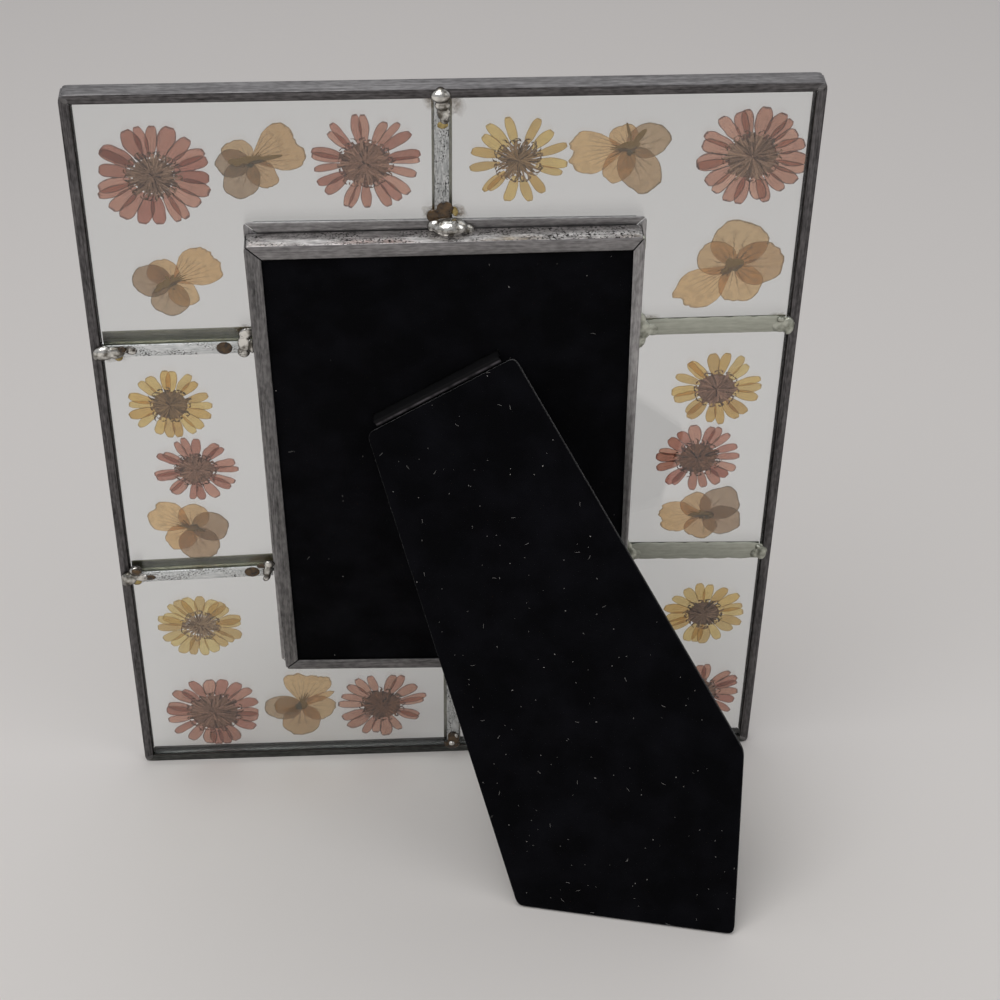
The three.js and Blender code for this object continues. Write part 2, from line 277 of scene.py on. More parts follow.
def drawn_zinc(name, along, dark, light, seed=0, rough=0.42, metal=1):
    """Zinc came as drawn: fine die lines and short pits run along it, under long soft dulled patches."""
    material, tree = new_material(name)
    streaks = speckle(tree, grained(along, 24, 0.32, 0.5), 0.34, 0.66, detail=5, seed=seed)
    clouds = speckle(tree, grained(along, 12, 1.5, 3), 0.3, 0.7, detail=4, seed=seed + 3)
    pits = speckle(tree, grained(along, 2.4, 0.7, 0.7), 0.4, 0.6, detail=4, seed=seed + 6)
    dulled = add(tree, "ShaderNodeMath", PRODUCT_PLUS, {0: pits, 1: 0.3, 2: -0.02})
    softened = add(tree, "ShaderNodeMath", PRODUCT_PLUS, {0: clouds, 1: 0.3, 2: dulled})
    share = add(tree, "ShaderNodeMath", PRODUCT_PLUS, {0: streaks, 1: 0.42, 2: softened})
    tint = add(tree, "ShaderNodeMix", COLOURS, {0: share, 6: linear(dark), 7: linear(light)})
    polish = add(tree, "ShaderNodeMapRange", None, {0: clouds, 3: rough + 0.12, 4: rough})
    dents = add(tree, "ShaderNodeBump", None, {"Height": streaks, "Distance": 0.03 * MM, "Strength": 0.4})
    zinc = add(
        tree,
        "ShaderNodeBsdfPrincipled",
        inputs={"Base Color": tint.outputs[2], "Metallic": metal, "Roughness": polish, "Normal": dents},
    )
    add(tree, "ShaderNodeOutputMaterial", None, {"Surface": zinc})
    return material


def tinned_zinc(name, along, low, high, flecks, grain, seed=0, metal=0.5):
    """Came tinned with solder: bright and frosted, with black flecks of burnt flux in streaky patches.

    grain is how long and how wide a fleck is, in millimetres.
    """
    material, tree = new_material(name)
    specks = speckle(tree, grained(along, *grain, 0.6), 0.5, 0.58, detail=6, seed=seed)
    where = speckle(tree, grained(along, 8, 2.5, 3), 0.4, 0.58, detail=3, seed=seed + 1)
    burnt = add(tree, "ShaderNodeMath", PRODUCT, {0: specks, 1: where})
    ripples = speckle(tree, grained(along, 3.5, 0.5, 1), 0.3, 0.7, detail=5, seed=seed + 2)
    tin = add(tree, "ShaderNodeMix", COLOURS, {0: ripples, 6: linear(low), 7: linear(high)})
    flecked = add(tree, "ShaderNodeMix", COLOURS, {0: burnt, 6: tin.outputs[2], 7: linear(flecks)})
    polish = add(tree, "ShaderNodeMapRange", None, {0: burnt, 3: 0.28, 4: 0.7})
    dents = add(tree, "ShaderNodeBump", None, {"Height": ripples, "Distance": 0.08 * MM, "Strength": 0.5})
    shader = add(
        tree,
        "ShaderNodeBsdfPrincipled",
        inputs={"Base Color": flecked.outputs[2], "Metallic": metal, "Roughness": polish, "Normal": dents},
    )
    add(tree, "ShaderNodeOutputMaterial", None, {"Surface": shader})
    return material


def set_solder(name, low, high, rough, edge, rim):
    """Solder as it set: bright where it flowed, with burnt flux round its foot and painted shade round its
    rim.

    edge is the height above the metal up to which the flux reaches, in millimetres, and rim is how
    strongly the painted shade darkens the lump where it turns away from the eye.
    """
    material, tree = new_material(name)
    height = add(tree, "ShaderNodeSeparateXYZ", None, {0: bench_coordinates(tree)}).outputs[2]
    frost = speckle(tree, (2.2, 2.2, 2.2), 0.42, 0.62)
    creep = speckle(tree, (0.9, 0.9, 0.9), 0.3, 0.7, seed=4)
    reach = add(tree, "ShaderNodeMath", PRODUCT_PLUS, {0: creep, 1: -1.1 * edge, 2: height})
    foot = add(tree, "ShaderNodeMapRange", None, {0: reach, 1: 0.1, 2: -0.35})
    # Painted shade: the lump darkens to flux brown where it turns away from the eye.
    painted_rim_shade = turned_away(tree, 0.3, 0.75, rim)
    burnt = add(tree, "ShaderNodeMath", LARGER, {0: foot, 1: painted_rim_shade})
    metal = add(tree, "ShaderNodeMix", COLOURS, {0: frost, 6: linear(high), 7: linear(low)})
    # burnt and this brown cover both the real flux at the foot and the painted shade at the rim.
    stained = add(tree, "ShaderNodeMix", COLOURS, {0: burnt, 6: metal.outputs[2], 7: linear("251A0E")})
    metallic = add(tree, "ShaderNodeMapRange", None, {0: burnt, 3: 1, 4: 0.5})
    polish = add(tree, "ShaderNodeMapRange", None, {0: frost, 3: rough, 4: rough + 0.2})
    dents = add(tree, "ShaderNodeBump", None, {"Height": frost, "Distance": 0.12 * MM, "Strength": 0.5})
    shader = add(
        tree,
        "ShaderNodeBsdfPrincipled",
        inputs={
            "Base Color": stained.outputs[2],
            "Metallic": metallic,
            "Roughness": polish,
            "Normal": dents,
        },
    )
    add(tree, "ShaderNodeOutputMaterial", None, {"Surface": shader})
    return material


def burnt_flux(name, colour, light):
    """Rosin flux baked to amber varnish: glossy, brown and darker where it lies thick."""
    material, tree = new_material(name)
    depth = speckle(tree, (1.4, 1.4, 1.4), 0.35, 0.65)
    varnish = add(tree, "ShaderNodeMix", COLOURS, {0: depth, 6: linear(colour), 7: linear(light)})
    dents = add(tree, "ShaderNodeBump", None, {"Height": depth, "Distance": 0.06 * MM, "Strength": 0.4})
    shader = add(
        tree,
        "ShaderNodeBsdfPrincipled",
        inputs={"Base Color": varnish.outputs[2], "Roughness": 0.16, "IOR": 1.54, "Normal": dents},
    )
    add(tree, "ShaderNodeOutputMaterial", None, {"Surface": shader})
    return material


def flux_film(name, colour):
    """Flux vapour settled on the glass: a thin stain, strongest near the joint, that breaks up outwards."""
    material, tree = new_material(name)
    fade = add(tree, "ShaderNodeAttribute", {"attribute_name": "fade"})
    cloud = speckle(tree, (1.6, 1.6, 1.6), 0.2, 0.62, detail=3, seed=2)
    share = add(tree, "ShaderNodeMath", PRODUCT, {0: fade.outputs["Fac"], 1: cloud})
    stain = add(tree, "ShaderNodeBsdfPrincipled", None, {"Base Color": linear(colour), "Roughness": 0.5})
    clear = add(tree, "ShaderNodeBsdfTransparent")
    film = add(tree, "ShaderNodeMixShader", None, {0: share, 1: clear, 2: stain})
    add(tree, "ShaderNodeOutputMaterial", None, {"Surface": film})
    return material


def window_glass():
    """Sheet glass: clear and flat, and it lets lamp light through to the flowers."""
    material, tree = new_material("sheet glass")
    glass = add(
        tree,
        "ShaderNodeBsdfPrincipled",
        inputs={"Base Color": linear("FCFDFD"), "Roughness": 0, "IOR": 1.52, "Transmission Weight": 1},
    )
    clear = add(tree, "ShaderNodeBsdfTransparent", None, {"Color": linear("F8FAF9")})
    path = add(tree, "ShaderNodeLightPath")
    soft = add(
        tree,
        "ShaderNodeMath",
        LARGER,
        {0: path.outputs["Is Shadow Ray"], 1: path.outputs["Is Diffuse Ray"]},
    )
    either = add(tree, "ShaderNodeMixShader", None, {0: soft, 1: glass, 2: clear})
    add(tree, "ShaderNodeOutputMaterial", None, {"Surface": either})
    return material


def velvet():
    """Black cotton velvet: pile that drinks the light, and greys in worn patches and over its edges."""
    material, tree = new_material("black velvet")
    wear_and_sheen = speckle(tree, (11, 11, 11), 0.4, 0.75, detail=5)
    pile = speckle(tree, (0.35, 0.35, 0.35), 0.3, 0.7, detail=2)
    black = add(tree, "ShaderNodeMix", COLOURS, {0: wear_and_sheen, 6: linear("070709"), 7: linear("0F0F13")})
    over_edge = turned_away(tree, 0.5, 0.9, 0.3)
    sheen = add(tree, "ShaderNodeMath", PRODUCT_PLUS, {0: wear_and_sheen, 1: 0.05, 2: over_edge})
    tufts = add(tree, "ShaderNodeBump", None, {"Height": pile, "Distance": 0.25 * MM, "Strength": 0.6})
    shader = add(
        tree,
        "ShaderNodeBsdfPrincipled",
        inputs={
            "Base Color": black.outputs[2],
            "Roughness": 1,
            "Specular IOR Level": 0.05,
            "Sheen Weight": sheen,
            "Sheen Roughness": 0.3,
            "Normal": tufts,
        },
    )
    add(tree, "ShaderNodeOutputMaterial", None, {"Surface": shader})
    return material


def lacquered_steel(across, low, high):
    """Thin steel strip in black lacquer, with a grey band above the leg that is partly worn lacquer and
    partly a painted highlight.

    across is the direction over the strip's width on the bench, and low and high are its edges that way.
    """
    material, tree = new_material("black lacquered steel")
    place = add(
        tree,
        "ShaderNodeVectorMath",
        {"operation": "DOT_PRODUCT"},
        {0: bench_coordinates(tree), 1: across},
    )
    # The grey band is partly worn lacquer and partly a painted highlight, greyest at its middle.
    sheen_band_middle = low + 0.36 * (high - low)
    aside = add(tree, "ShaderNodeMath", {"operation": "SUBTRACT"}, {0: place.outputs["Value"], 1: sheen_band_middle})
    away = add(tree, "ShaderNodeMath", {"operation": "ABSOLUTE"}, {0: aside})
    wear_and_sheen = add(tree, "ShaderNodeMapRange", None, {0: away, 1: 0.24 * (high - low), 2: 0})
    worn = speckle(tree, (3, 3, 3), 0.3, 0.6)
    share = add(tree, "ShaderNodeMath", PRODUCT, {0: wear_and_sheen, 1: worn})
    lacquer = add(tree, "ShaderNodeMix", COLOURS, {0: share, 6: linear("09090B"), 7: linear("5C585C")})
    shader = add(
        tree,
        "ShaderNodeBsdfPrincipled",
        inputs={"Base Color": lacquer.outputs[2], "Roughness": 0.7, "Specular IOR Level": 0.15},
    )
    add(tree, "ShaderNodeOutputMaterial", None, {"Surface": shader})
    return material


def cotton_lint():
    """Cotton lint and dust: pale fluff caught in the pile."""
    material, tree = new_material("cotton lint")
    shader = add(
        tree,
        "ShaderNodeBsdfPrincipled",
        inputs={"Base Color": linear("A09D9A"), "Roughness": 0.9, "Sheen Weight": 0.2},
    )
    add(tree, "ShaderNodeOutputMaterial", None, {"Surface": shader})
    return material


SEE_THROUGH = 0.88  # share of the light that each face of a petal lets through
FACE_STAIN = 0.5  # power of the petal's colour that tints it there, so that two faces give the whole
OWN_FACE = 0.3  # power of it that the petal's own face shows, under its painted sheen
SHEEN_TINT = "C8F8F6"  # painted sheen: a cool tint over a petal's own face, which greys its colour


def dried_petal(name, first, second, deep, margin, veins, vein_strength, margin_width):
    """A pressed petal: tissue that stains what is behind it, so it darkens where petals cross.

    first and second are the colours it dries between, by the mesh's hue; deep is the vein colour and
    margin that of its dried edge. veins is how many there are across, vein_strength how dark they
    are near the petal's base, and margin_width how ragged and wide the edge is.
    """
    material, tree = new_material(name)
    spread = add(tree, "ShaderNodeUVMap")
    parts = add(tree, "ShaderNodeSeparateXYZ", None, {0: spread})
    fine = speckle(tree, (0.8, 0.8, 0.8), 0.3, 0.7, detail=4, seed=3)
    side = add(tree, "ShaderNodeMath", PRODUCT_PLUS, {0: parts, 1: 2, 2: -1})
    off = add(tree, "ShaderNodeMath", {"operation": "ABSOLUTE"}, {0: side})
    tip = add(tree, "ShaderNodeMath", PRODUCT_PLUS, {0: parts.outputs[1], 1: 3, 2: -2})
    edge = add(tree, "ShaderNodeMath", LARGER, {0: off, 1: tip})
    ragged = add(tree, "ShaderNodeMath", PRODUCT_PLUS, {0: fine, 1: margin_width, 2: edge})
    rim_line = add(tree, "ShaderNodeMapRange", None, {0: ragged, 1: 1 - 0.8 * margin_width, 2: 1.0})

    wander = add(tree, "ShaderNodeMath", PRODUCT_PLUS, {0: fine, 1: 0.04, 2: parts})
    waves = add(tree, "ShaderNodeMath", PRODUCT, {0: wander, 1: veins * 2 * math.pi})
    lines = add(tree, "ShaderNodeMath", {"operation": "SINE"}, {0: waves})
    vein = add(tree, "ShaderNodeMapRange", None, {0: lines, 1: 0.72, 2: 1})
    near_base = add(
        tree,
        "ShaderNodeMapRange",
        inputs={0: parts.outputs[1], 1: 0.85, 2: 0.2, 4: vein_strength},
    )
    faint = add(tree, "ShaderNodeMath", PRODUCT, {0: vein, 1: near_base})

    hue = add(tree, "ShaderNodeAttribute", {"attribute_name": "hue"}).outputs["Fac"]
    tone = add(tree, "ShaderNodeAttribute", {"attribute_name": "tone"}).outputs["Fac"]
    body = add(tree, "ShaderNodeMix", COLOURS, {0: hue, 6: linear(first), 7: linear(second)})
    blotch = speckle(tree, (1.8, 1.8, 1.8), 0.45, 1.6, detail=6)
    mottled = add(tree, "ShaderNodeMix", COLOURS, {0: blotch, 6: body.outputs[2], 7: linear(deep)})
    veined = add(tree, "ShaderNodeMix", COLOURS, {0: faint, 6: mottled.outputs[2], 7: linear(deep)})
    toned = add(tree, "ShaderNodeMix", TINTED, {0: tone, 6: veined.outputs[2], 7: linear("C8A898")})
    rim_share = add(tree, "ShaderNodeMapRange", None, {0: hue, 3: 0.45, 4: 0.85})
    dark_rim = add(tree, "ShaderNodeMath", PRODUCT, {0: rim_line, 1: rim_share})
    outlined = add(
        tree,
        "ShaderNodeMix",
        COLOURS,
        {0: dark_rim, 6: toned.outputs[2], 7: linear(margin)},
    ).outputs[2]

    bare_face = add(tree, "ShaderNodeGamma", None, {"Color": outlined, "Gamma": OWN_FACE})
    # Painted sheen: the petal's own face is tinted cool and grey.
    face_with_painted_sheen = add(tree, "ShaderNodeMix", TINTED, {0: 1, 6: bare_face, 7: linear(SHEEN_TINT)}).outputs[2]
    stain = add(tree, "ShaderNodeGamma", None, {"Color": outlined, "Gamma": FACE_STAIN})
    ridges = add(tree, "ShaderNodeBump", None, {"Height": vein, "Distance": 0.03 * MM})
    tissue = add(
        tree,
        "ShaderNodeBsdfPrincipled",
        inputs={"Base Color": face_with_painted_sheen, "Roughness": 0.75, "Specular IOR Level": 0.2, "Normal": ridges},
    )
    glow = add(tree, "ShaderNodeBsdfTranslucent", None, {"Color": face_with_painted_sheen})
    leaf = add(tree, "ShaderNodeMixShader", None, {0: 0.4, 1: tissue, 2: glow})
    clear = add(tree, "ShaderNodeBsdfTransparent", None, {"Color": stain})
    petal = add(tree, "ShaderNodeMixShader", None, {0: SEE_THROUGH, 1: leaf, 2: clear})
    add(tree, "ShaderNodeOutputMaterial", None, {"Surface": petal})
    return material


def dried_floret(name, dark, light):
    """A daisy's disc florets, shrunk and pressed over each other: pale tubes, with painted shade darkening
    each tube where it turns away from the eye.
    """
    material, tree = new_material(name)
    tone = add(tree, "ShaderNodeAttribute", {"attribute_name": "tone"})
    mottle = speckle(tree, (0.5, 0.5, 0.5), 0.35, 0.7)
    # Painted shade: each floret darkens where it turns away from the eye.
    painted_side_shade = turned_away(tree, 0.25, 0.7, 0.45)
    spotted = add(tree, "ShaderNodeMath", PRODUCT_PLUS, {0: mottle, 1: 0.25, 2: tone.outputs["Fac"]})
    share = add(tree, "ShaderNodeMath", {"operation": "ADD"}, {0: spotted, 1: painted_side_shade})
    brown = add(tree, "ShaderNodeMix", COLOURS, {0: share, 6: linear(light), 7: linear(dark)})
    shader = add(
        tree,
        "ShaderNodeBsdfPrincipled",
        inputs={"Base Color": brown.outputs[2], "Roughness": 0.8, "Specular IOR Level": 0.2},
    )
    add(tree, "ShaderNodeOutputMaterial", None, {"Surface": shader})
    return material


def both_ways(name, dark, light, seed=0):
    """Drawn zinc of one look, with its lines along x or along y."""
    return {along: drawn_zinc(f"{name} {along}", along, dark, light, seed) for along in "xy"}


GLASS = window_glass()
VELVET = velvet()
LINT = cotton_lint()
SOLDER = set_solder("bright solder", "6A665E", "E8E6E0", 0.1, 0.8, 0.95)
DULL_SOLDER = set_solder("frosted solder", "94968A", "C4C6BA", 0.35, 0.2, 0.3)
FLUX = burnt_flux("burnt rosin flux", "1E1408", "574022")
AMBER = burnt_flux("amber rosin flux", "6E5A24", "B49E62")
FILM = {
    "brown": flux_film("brown flux film", "6C5632"),
    "pale": flux_film("pale flux film", "A09A84"),
}
PATINA = both_ways("dulled zinc, lines along", "3E3D3D", "989696")
ZINC = both_ways("drawn zinc, lines along", "636162", "ACAAAA", 5)
BRIGHT = both_ways("cleaned zinc, lines along", "6C6A6A", "BEBCBC", 8)
WEATHERED = both_ways("weathered zinc, lines along", "262525", "7E7B7C", 11)
OLIVE = both_ways("zinc stained by flux, along", "504E3C", "8A8870", 12)
# Painted shade: the bottom came, at the frame's foot, is drawn in this darker zinc.
SHADED = drawn_zinc("zinc darkened by painted shade at the foot", "x", "232423", "70716E", 3)
GRIME = drawn_zinc("grime in the came's edges", "x", "1C1A19", "4E4A47", 7, rough=0.6)
TINNED = {
    "x": tinned_zinc("tinned zinc", "x", "BCC0C0", "F2F3F2", "1A1813", (0.65, 0.32)),
    "y": tinned_zinc("tinned zinc, flecked all over", "y", "8E9191", "DCDDDC", "1A1813", (0.75, 0.4)),
}
WALL_TIN = tinned_zinc("tinned holder wall", "x", "84807F", "E4E0DE", "2A2624", (0.7, 0.35), 6, metal=0.9)
PALE_TIN = drawn_zinc("pale tinned zinc, along x", "x", "9A9C90", "BCBEB1", 9, rough=0.6, metal=0.3)
SKIN = drawn_zinc("dull solder skin", "x", "9C9D90", "BCBDB0", 15, rough=0.6, metal=0.3)
DULL_WALL = drawn_zinc("dull bar wall", "x", "55564C", "6C6D62", 16, rough=0.8, metal=0.2)

# ---- Cames, bars and holder ----

# From each side of the frame towards its middle, on the bench.
INWARD = {"top": (0, -1, 0), "right": (-1, 0, 0), "bottom": (0, 1, 0), "left": (1, 0, 0)}


GRIME_WIDTH = 0.5
BAR_FLANGE = 0.7  # how deep the metal is that shows on a bar's back


def came_finish(piece, side, flat, wall):
    """A came's flanges and its walls, and the grime where its flanges end on the glass."""
    for material in (flat, wall, GRIME):
        piece.data.materials.append(material)
    inward = Vector(INWARD[side])
    end = max(point.co.dot(inward) for point in piece.data.vertices)
    for face in piece.data.polygons:
        at_end = face.center.dot(inward) > end - GRIME_WIDTH and face.normal.dot(inward) > 0.3
        face.material_index = 2 if at_end else 0 if abs(face.normal.z) > 0.5 else 1


def make_cames():
    for i, side in enumerate(SIDES):
        along = "xy"[i % 2]
        outer = eased_copy(f"outer_came_{side}", 0.25)
        # The bottom came takes the darker SHADED zinc on all its faces: painted shade at the frame's foot.
        flat, wall = (SHADED, SHADED) if side == "bottom" else (WEATHERED[along], ZINC[along])
        came_finish(outer, side, flat, wall)
        finish_piece(outer)
        inner = eased_copy(f"inner_came_{side}", 0.2)
        came_finish(inner, side, BRIGHT[along], BRIGHT[along])
        finish_piece(inner)
        holder = eased_copy(f"holder_{side}", 0.2)
        lip = {"top": ZINC, "right": BRIGHT, "bottom": PATINA, "left": PATINA}[side][along]
        came_finish(holder, side, lip, WALL_TIN if side == "top" else lip)
        finish_piece(holder)


def make_bars():
    for name in ("top", "bottom", "left_upper", "left_lower", "right_upper", "right_lower"):
        along = "y" if name in ("top", "bottom") else "x"
        bar = eased_copy(f"bar_{name}", 0.15)
        pale = name.startswith("right")
        bar.data.materials.append(PALE_TIN if pale else TINNED[along])
        bar.data.materials.append(DULL_WALL if pale else OLIVE[along])
        back = on_bench(f"bar_{name}")[1].z
        for face in bar.data.polygons:
            face.material_index = 0 if face.center.z > back - BAR_FLANGE else 1
        finish_piece(bar)


# ---- Solder ----


def bar_skin(y, slope, half_width, turn):
    """Flat drops in a row, which run together into a skin over a right bar with its middle at y."""
    return [(x, y + slope * (x - 74), -0.24, 9, half_width, 0.52, turn) for x in range(60, 89, 7)]


# Where solder ran: drops (x, y, z, half length, half width, half height, turn).
SOLDER_LUMPS = {
    "solder_top_bar_head": [
        (-1.3, 240.1, 0.2, 2.7, 1.9, 1.7, 0),
        (-0.9, 237.4, 0.1, 2.1, 1.6, 1.1, 0),
        (-0.6, 235.2, 0.0, 1.8, 2.4, 0.75, 0),
        (-0.4, 233.3, 0.0, 1.3, 1.8, 0.5, 0),
        (-1.4, 241.6, -0.2, 1.2, 0.9, 0.8, 0),
    ],
    "solder_top_bar_foot": [
        (0.9, 201.4, 1.2, 4.8, 2.6, 3.0, 0),
        (4.6, 200.9, 0.9, 3.0, 1.5, 1.9, -14),
        (-2.8, 201.5, 0.5, 2.4, 2.0, 1.5, 10),
    ],
    "solder_bottom_bar_foot": [
        (1.0, 4.6, 0.7, 1.1, 1.0, 0.8, 0),
        (2.4, 7.4, 0.1, 0.8, 1.4, 0.5, 12),
    ],
    "solder_bottom_bar_head": [
        (1.4, 41.0, 0.1, 2.4, 2.2, 0.9, 0),
        (1.2, 38.8, 0.0, 1.4, 1.6, 0.5, 0),
    ],
    "solder_left_upper_outer": [
        (-93.6, 162.4, 0.2, 3.0, 2.3, 1.7, 8),
        (-90.4, 162.5, 0.2, 2.6, 2.0, 1.3, 0),
        (-95.6, 161.4, -0.4, 1.3, 1.9, 1.3, 0),
        (-86.2, 162.9, 0.0, 1.8, 1.5, 0.6, -25),
    ],
    "solder_left_upper_inner": [
        (-55.2, 164.6, 0.1, 2.0, 2.8, 1.0, 0),
        (-54.4, 168.0, 0.0, 2.4, 1.7, 0.8, 20),
        (-55.6, 161.6, 0.0, 1.8, 2.0, 0.6, 0),
        (-53.2, 164.0, 0.8, 1.0, 2.2, 1.3, 0),
    ],
    "solder_left_lower_outer": [
        (-94.6, 79.4, 0.2, 2.4, 2.5, 1.6, -20),
        (-92.4, 82.4, 0.2, 2.1, 1.6, 1.5, 0),
        (-95.4, 77.6, 0.0, 1.6, 1.3, 1.0, 0),
        (-91.0, 79.4, 0.0, 2.2, 1.6, 0.8, 0),
    ],
    "solder_left_lower_inner": [
        (-53.6, 80.8, 0.2, 1.4, 2.6, 1.0, -15),
        (-53.0, 83.4, 0.1, 1.8, 1.3, 0.8, 0),
        (-54.0, 78.0, 0.0, 1.1, 1.7, 0.5, -30),
    ],
}
DULL_LUMPS = {
    "solder_right_upper_inner": [
        (54.0, 166.0, 0.1, 2.2, 3.2, 0.8, 0),
        (53.2, 169.3, 0.0, 1.5, 2.6, 0.6, 10),
        (53.4, 162.4, 0.0, 1.5, 2.8, 0.6, -10),
        (56.6, 166.0, 0.0, 1.8, 2.2, 0.5, 0),
    ],
    "solder_right_upper_outer": [
        (94.2, 166.2, 0.1, 1.6, 3.0, 0.9, 0),
        (92.0, 166.2, 0.0, 2.6, 2.2, 0.6, 0),
        (91.8, 168.6, 0.1, 1.2, 0.9, 0.9, 0),
    ],
    "solder_right_lower_inner": [
        (54.6, 83.2, 0.1, 1.9, 2.9, 0.7, 0),
        (53.9, 86.4, 0.0, 1.2, 1.8, 0.5, 0),
        (56.6, 83.2, 0.0, 1.6, 2.1, 0.45, 0),
    ],
    "solder_right_lower_outer": [
        (94.2, 82.4, 0.1, 1.5, 2.7, 0.8, 0),
        (92.4, 82.4, 0.0, 2.0, 2.1, 0.5, 0),
        (92.9, 85.0, 0.1, 0.9, 0.8, 0.8, 0),
    ],
    "solder_right_upper_skin": bar_skin(166.75, 0.005, 2.85, 0.3),
    "solder_right_lower_skin": bar_skin(83.75, -0.028, 3.4, -1.6),
    "solder_holder_top_right": [
        (51.7, 198.6, 5.2, 0.7, 1.8, 1.2, 0),
        (51.9, 196.6, 4.6, 0.6, 1.9, 1.2, 0),
    ],
    "solder_holder_right_side": [
        (53.0, 84.4, 1.0, 0.9, 2.6, 1.3, 0),
        (53.2, 88.2, 0.6, 0.8, 1.6, 0.8, 0),
    ],
}
FLUX_SPOTS = {
    "flux_top_bar_foot": [
        (-0.4, 206.6, 0.1, 2.3, 2.2, 0.55, 0),
        (-3.3, 204.2, 0.0, 2.0, 2.2, 0.7, 25),
        (-1.2, 204.4, 0.2, 2.4, 1.6, 0.7, 0),
    ],
    "flux_bottom_bar_foot": [(1.1, 3.8, 0.1, 2.7, 2.2, 0.9, 0), (1.6, 6.6, 0.0, 1.9, 2.8, 0.6, 12)],
    "flux_left_upper": [(-60.8, 163.0, 0.05, 2.3, 2.2, 0.5, 0)],
    "flux_left_lower": [(-58.2, 80.4, 0.05, 2.4, 2.0, 0.5, 0)],
    "flux_left_lower_outer": [(-92.2, 82.7, 1.2, 1.5, 1.3, 0.7, 0), (-88.6, 79.3, 0.0, 2.0, 1.1, 0.4, 0)],
    "flux_left_upper_outer": [(-88.6, 163.6, 0.6, 1.2, 1.2, 0.7, 0)],
    "flux_left_lower_inner": [(-55.0, 82.6, -0.1, 1.9, 1.0, 0.4, 10)],
}
AMBER_SPOTS = {
    "amber_top_bar_head": [(-0.9, 231.6, 0.0, 1.6, 1.2, 0.35, 0)],
    "amber_top_bar_foot": [(2.2, 205.4, -0.3, 0.9, 1.7, 0.45, 10)],
    "amber_left_upper": [(-89.7, 160.9, 0.1, 1.3, 1.5, 0.6, 0)],
    "amber_left_lower": [(-92.3, 77.9, 0.2, 1.5, 1.1, 0.8, 15)],
}


def make_solder():
    finishes = (
        (SOLDER_LUMPS, SOLDER),
        (DULL_LUMPS, DULL_SOLDER),
        (FLUX_SPOTS, FLUX),
        (AMBER_SPOTS, AMBER),
    )
    for lumps, material in finishes:
        for name, drops in lumps.items():
            lump = melt(name, drops)
            finish_piece(lump, SKIN if name.endswith("skin") else material, smooth=180)


# Where flux stained the glass: finish, x, y, half width, half height, strength.
FILM_SPOTS = (
    ("brown", -3.6, 238.6, 2.4, 3.0, 0.7),
    ("brown", 2.4, 237.4, 2.6, 4.6, 0.6),
    ("brown", -3.9, 205.0, 2.6, 3.0, 0.7),
    ("brown", 3.0, 204.8, 2.6, 2.8, 0.75),
    ("brown", -91.0, 160.2, 4.6, 1.6, 0.5),
    ("brown", -55.0, 168.4, 3.2, 2.0, 0.6),
    ("brown", -92.6, 78.2, 3.4, 2.2, 0.65),
    ("brown", -55.6, 84.4, 4.4, 2.0, 0.5),
    ("pale", 55.6, 169.4, 3.4, 1.4, 0.5),
    ("pale", 91.0, 169.2, 2.6, 1.2, 0.5),
)


def make_films():
    surface = on_bench("back_glass_top_left")[1].z
    deselect()
    bpy.ops.mesh.primitive_circle_add(vertices=32, radius=1, fill_type="NGON")
    spot = named("flux_film")
    for _ in range(4):
        pick(spot, "polygons", lambda face: len(face.vertices) > 4)
        bpy.ops.mesh.inset(thickness=0.2)
        done()
    modify(spot, "SOLIDIFY", thickness=0.03, offset=1)
    for number, (finish, x, y, width, height, strength) in enumerate(FILM_SPOTS):
        ripple = Vector((number * 7, 0, 0))

        def spread(co, x=x, y=y, width=width, height=height, ripple=ripple):
            wobble = 1 + 0.5 * noise.noise(co * 1.6 + ripple)
            return Vector((x + co.x * width * wobble, y + co.y * height * wobble, surface + 0.05 + co.z))

        film = copy_of(spot, spread, fade=lambda co, top=strength: top * max(0, 1 - co.xy.length))
        film.name = f"flux_film_{number}"
        finish_piece(film, FILM[finish])
    bpy.data.objects.remove(spot)


def make_corner_solder():
    """Solder fills the mitres at the four corners of the outer came."""
    low, _ = on_bench("outer_came_left")
    _, high = on_bench("outer_came_right")
    top = on_bench("outer_came_top")[1].y
    inset = 1.5
    corners = {
        "top_left": (low.x + inset, top - inset, -45),
        "top_right": (high.x - inset, top - inset, 45),
        "bottom_right": (high.x - inset, inset, -45),
        "bottom_left": (low.x + inset, inset, 45),
    }
    for name, (x, y, turn) in corners.items():
        drops = [(x, y, -0.15, 1.5, 0.8, 0.32, turn)]
        corner = melt(f"solder_corner_{name}", drops, voxel=0.12, smooth=3)
        finish_piece(corner, PATINA["x"], smooth=180)


# ---- Glass, board, hinge and leg ----


def set_glass():
    sheets = [f"{side}_glass_{window}" for side in ("back", "front") for window in WINDOWS]
    for node in [*sheets, "photo_glass"]:
        pane = frame["nodes"][node]
        pane.data.materials.clear()
        pane.data.materials.append(GLASS)


def make_velvet_pieces():
    board = eased_copy("backing_board", 0.35)
    finish_piece(board, VELVET)
    leg = eased_copy("easel_leg", 0.5, segments=3)
    finish_piece(leg, VELVET, body="leg")
    return board, leg


def make_hinge():
    hinge = eased_copy("leg_hinge", 0.12)
    axis = Vector(frame["record"]["behaviour"]["joints"][0]["axis"])
    across = Vector((-axis.dot(UP), axis.dot(ACROSS), 0))
    places = [point.co.dot(across) for point in hinge.data.vertices]
    finish_piece(hinge, lacquered_steel(across, min(places), max(places)))


